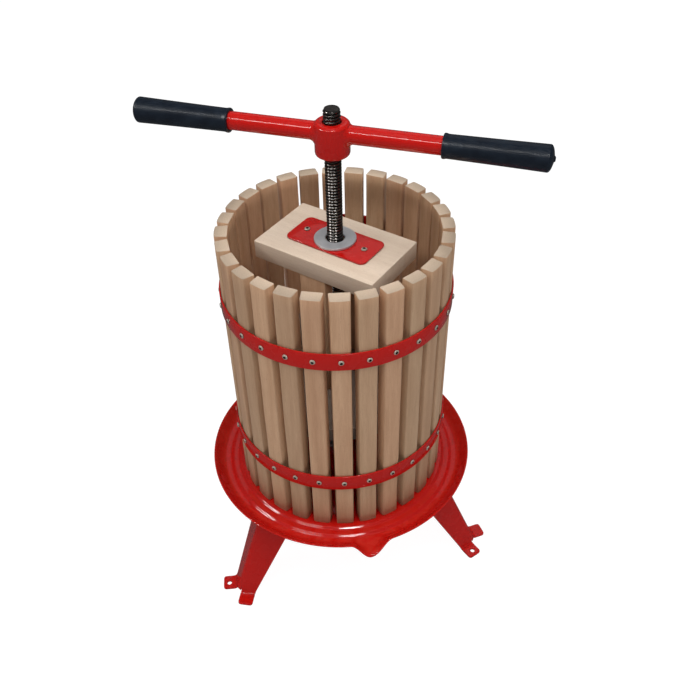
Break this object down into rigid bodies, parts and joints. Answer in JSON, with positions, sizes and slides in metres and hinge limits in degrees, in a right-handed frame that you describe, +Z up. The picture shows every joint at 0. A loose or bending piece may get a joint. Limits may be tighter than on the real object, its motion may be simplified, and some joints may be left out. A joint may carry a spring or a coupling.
{
  "type": "basket wine press",
  "caption": "Basket press: slatted wooden basket in a steel tray on three legs, with a central spindle, press wood and a two-armed screw handle.",
  "frame": {"origin": "on the floor, at the middle of the footprint seen from above; the spindle axis stands 15 mm in front of it", "axes": "+Z up along the spindle; -Y towards the spout, between the two front legs; +X to the right when facing the spout side from the front"},
  "size_m": [0.4381, 0.4334, 0.711],
  "materials": {
    "red_paint": "glossy bright red powder coat on pressed and folded steel",
    "beech": "planed untreated beech with short dark flecks along the grain",
    "spindle_steel": "dark oiled steel with bright thread crests",
    "zinc": "matt zinc plating",
    "grip_rubber": "matt black moulded rubber"
  },
  "bodies": {
    "base": {"tray": "red_paint", "leg_front_left": "red_paint", "leg_front_right": "red_paint", "leg_rear": "red_paint", "leg_front_left_bolt": "zinc", "leg_front_right_bolt": "zinc", "leg_rear_bolt": "zinc", "leg_front_left_nut": "zinc", "leg_front_right_nut": "zinc", "leg_rear_nut": "zinc", "spindle": "spindle_steel", "anchor_plate": "zinc", "spindle_nut_upper": "zinc", "spindle_nut_lower": "zinc"},
    "basket": {"stave_01": "beech", "stave_02": "beech", "stave_03": "beech", "stave_04": "beech", "stave_05": "beech", "stave_06": "beech", "stave_07": "beech", "stave_08": "beech", "stave_09": "beech", "stave_10": "beech", "stave_11": "beech", "stave_12": "beech", "stave_13": "beech", "stave_14": "beech", "stave_15": "beech", "stave_16": "beech", "stave_17": "beech", "stave_18": "beech", "stave_19": "beech", "stave_20": "beech", "stave_21": "beech", "stave_22": "beech", "stave_23": "beech", "stave_24": "beech", "stave_25": "beech", "stave_26": "beech", "stave_27": "beech", "stave_28": "beech", "band_lower": "red_paint", "band_upper": "red_paint"},
    "press_stack": {"press_block": "beech", "wear_plate": "red_paint", "thrust_washer": "zinc", "plate_screw_left": "zinc", "plate_screw_right": "zinc", "spacer_front": "beech", "spacer_rear": "beech", "half_moon_front": "beech", "half_moon_rear": "beech"},
    "bush": {"threaded_bush": "zinc"},
    "handle": {"handle_hub": "red_paint", "handle_arm_left": "red_paint", "handle_arm_right": "red_paint", "handle_grip_left": "grip_rubber", "handle_grip_right": "grip_rubber"}
  },
  "joints": [
    {"name": "basket_turn", "type": "hinge", "parent": "base", "child": "basket", "pos_m": [0, -0.015, 0.1625], "axis": [0, 0, 1], "continuous": true},
    {"name": "press_travel", "type": "slide", "parent": "base", "child": "press_stack", "axis": [0, 0, 1], "range_m": [-0.145, 0]},
    {"name": "handle_travel", "type": "slide", "parent": "base", "child": "bush", "axis": [0, 0, 1], "range_m": [-0.1081, 0.0121]},
    {"name": "handle_spin", "type": "hinge", "parent": "bush", "child": "handle", "pos_m": [0, -0.015, 0.675], "axis": [0, 0, 1], "range_deg": [-9720, 1080]}
  ],
  "couplings": [
    {"joint": "handle_travel", "follows": "handle_spin", "m_per_rad": 0.00063662}
  ]
}
